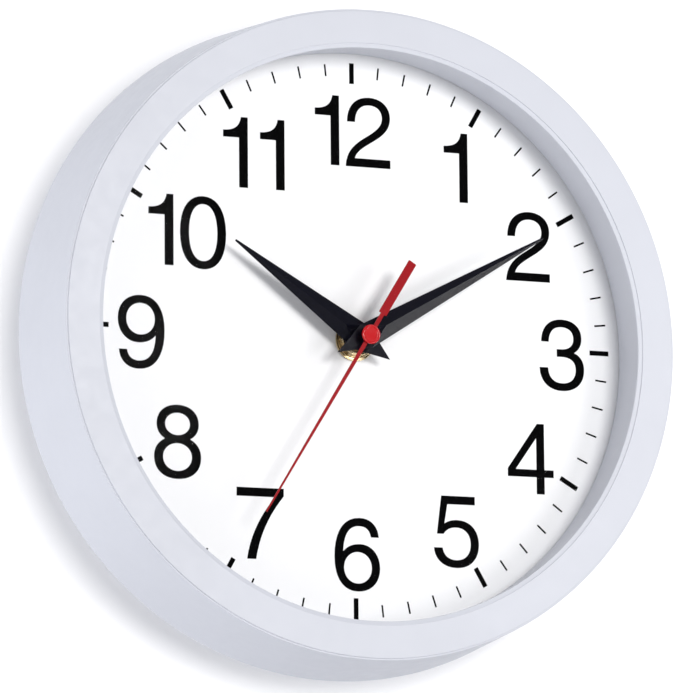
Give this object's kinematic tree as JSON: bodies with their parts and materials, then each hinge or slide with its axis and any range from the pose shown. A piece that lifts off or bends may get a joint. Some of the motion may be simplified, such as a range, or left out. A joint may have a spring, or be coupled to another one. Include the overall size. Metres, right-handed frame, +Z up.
{
  "type": "wall clock",
  "caption": "Round battery wall clock: white moulded case with a raised ring and clear lens, printed dial, black hour and minute hands, red second hand and geared movement.",
  "frame": {"origin": "the point in the wall plane where the hook's shank bears on the top of the hanger's keyhole", "axes": "+Z up, +Y into the wall, along the hand axis and away from the viewer; +X to the viewer's right"},
  "size_m": [0.254, 0.0419, 0.254],
  "materials": {
    "white_plastic": "satin white moulding",
    "clear_lens": "clear",
    "dial_print": "matte white with black print",
    "black_plastic": "satin black moulding",
    "natural_plastic": "unpainted moulding",
    "rubber": "matte",
    "brass": "turned",
    "steel": "plated",
    "motor_iron": "plain",
    "copper_wire": "enamelled wire",
    "board": "lacquered",
    "print_ink": "printed",
    "magnet": "plain",
    "battery_label": "printed sleeve",
    "hand_black": "black lacquer",
    "hand_red": "red lacquer"
  },
  "bodies": {
    "case": {"front_bezel": "white_plastic", "lens": "clear_lens", "dial": "dial_print", "back_plate": "white_plastic", "back_screw_1": "steel", "back_screw_2": "steel", "back_screw_3": "steel", "back_screw_4": "steel", "back_screw_5": "steel", "back_screw_6": "steel", "movement_housing": "black_plastic", "movement_cover": "black_plastic", "threaded_bushing": "brass", "rubber_washer": "rubber", "brass_washer": "brass", "hex_nut": "brass", "wall_hanger": "steel", "gear_plate": "natural_plastic", "stator": "motor_iron", "coil_core": "motor_iron", "coil_bobbin": "natural_plastic", "coil_winding": "copper_wire", "circuit_board": "board", "circuit_chip": "black_plastic", "quartz_crystal": "steel", "battery": "battery_label", "battery_contact_positive": "steel", "battery_contact_negative": "steel"},
    "minute": {"minute_wheel": "natural_plastic", "minute_hand": "hand_black"},
    "hour": {"hour_wheel": "natural_plastic", "hour_hand": "hand_black"},
    "second": {"second_wheel": "natural_plastic", "second_arbor": "steel", "second_hand": "hand_red", "second_hand_cap": "hand_red"},
    "third": {"third_wheel": "natural_plastic"},
    "intermediate": {"intermediate_wheel": "natural_plastic"},
    "rotor": {"rotor_pinion": "natural_plastic", "rotor_magnet": "magnet"},
    "motion": {"motion_wheel": "natural_plastic"},
    "knob": {"setting_knob": "black_plastic"}
  },
  "joints": [
    {"name": "minute_turn", "type": "hinge", "parent": "case", "child": "minute", "pos_m": [0, -0.032, -0.0425], "axis": [0, 1, 0], "continuous": true},
    {"name": "hour_turn", "type": "hinge", "parent": "case", "child": "hour", "pos_m": [0, -0.027, -0.0425], "axis": [0, 1, 0], "continuous": true},
    {"name": "second_turn", "type": "hinge", "parent": "case", "child": "second", "pos_m": [0, -0.0348, -0.0425], "axis": [0, 1, 0], "continuous": true},
    {"name": "third_turn", "type": "hinge", "parent": "case", "child": "third", "pos_m": [-0.00935, -0.0079, -0.0371], "axis": [0, 1, 0], "continuous": true},
    {"name": "intermediate_turn", "type": "hinge", "parent": "case", "child": "intermediate", "pos_m": [0.0042, -0.0037, -0.03522], "axis": [0, 1, 0], "continuous": true},
    {"name": "rotor_turn", "type": "hinge", "parent": "case", "child": "rotor", "pos_m": [0.00972, -0.0066, -0.0306], "axis": [0, 1, 0], "continuous": true},
    {"name": "motion_turn", "type": "hinge", "parent": "case", "child": "motion", "pos_m": [-0.00846, -0.012, -0.04558], "axis": [0, 1, 0], "continuous": true},
    {"name": "knob_turn", "type": "hinge", "parent": "case", "child": "knob", "pos_m": [-0.01742, -0.0017, -0.04636], "axis": [0, 1, 0], "continuous": true}
  ],
  "couplings": [
    {"joint": "hour_turn", "follows": "minute_turn", "ratio": 0.083333},
    {"joint": "second_turn", "follows": "minute_turn", "ratio": 60},
    {"joint": "third_turn", "follows": "minute_turn", "ratio": -7.5},
    {"joint": "intermediate_turn", "follows": "minute_turn", "ratio": -360},
    {"joint": "rotor_turn", "follows": "minute_turn", "ratio": 1800},
    {"joint": "motion_turn", "follows": "minute_turn", "ratio": -0.33333},
    {"joint": "knob_turn", "follows": "minute_turn", "ratio": 1}
  ]
}
